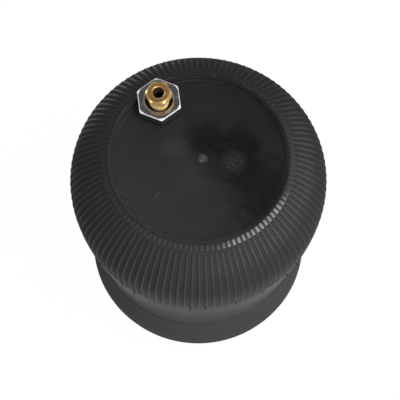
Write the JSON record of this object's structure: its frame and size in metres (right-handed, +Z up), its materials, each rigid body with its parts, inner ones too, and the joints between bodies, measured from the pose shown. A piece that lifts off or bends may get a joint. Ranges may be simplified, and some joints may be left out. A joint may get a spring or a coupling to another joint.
{
  "type": "air suspension spring",
  "caption": "Rolling lobe air spring: ribbed rubber bellows crimped to a round steel bead plate with an air stud, on a moulded piston.",
  "frame": {"origin": "centre of the piston's base, on the surface it stands on", "axes": "+Z up along the spring's own axis, from the piston to the bead plate; +Y points away from the picture's viewer"},
  "size_m": [0.1838, 0.1838, 0.2734],
  "materials": {
    "bead_plate": "black coated steel, satin, scuffed",
    "dark_steel": "dark coated steel",
    "zinc_steel": "bright zinc plated steel",
    "brass": "machined brass",
    "bead_wire": "brass washed bead wire",
    "rubber": "moulded black rubber, satin",
    "seal_rubber": "smooth nitrile rubber",
    "bumper": "cellular urethane",
    "piston_plastic": "glass filled black nylon"
  },
  "bodies": {
    "piston": {"piston_shell": "piston_plastic", "piston_base": "piston_plastic", "base_screws": "zinc_steel", "base_inserts": "brass", "hub_sleeve": "zinc_steel", "piston_bolt": "zinc_steel", "piston_bolt_washer": "zinc_steel", "piston_bolt_nut": "zinc_steel", "bumper_washer": "zinc_steel", "bumper": "bumper", "clamp_plate": "dark_steel", "clamp_o_ring": "seal_rubber", "lower_bead_core": "bead_wire"},
    "upper": {"bead_plate": "bead_plate", "combo_stud": "dark_steel", "combo_stud_nut": "zinc_steel", "air_fitting": "brass", "upper_bead_core": "bead_wire", "bellows": "rubber"}
  },
  "joints": [
    {"name": "ride_height", "type": "slide", "parent": "piston", "child": "upper", "axis": [0, 0, 1], "range_m": [-0.07, 0.06], "stiffness_N_per_m": 3000, "springref_m": 0.0048, "deforming": ["bellows"]}
  ]
}
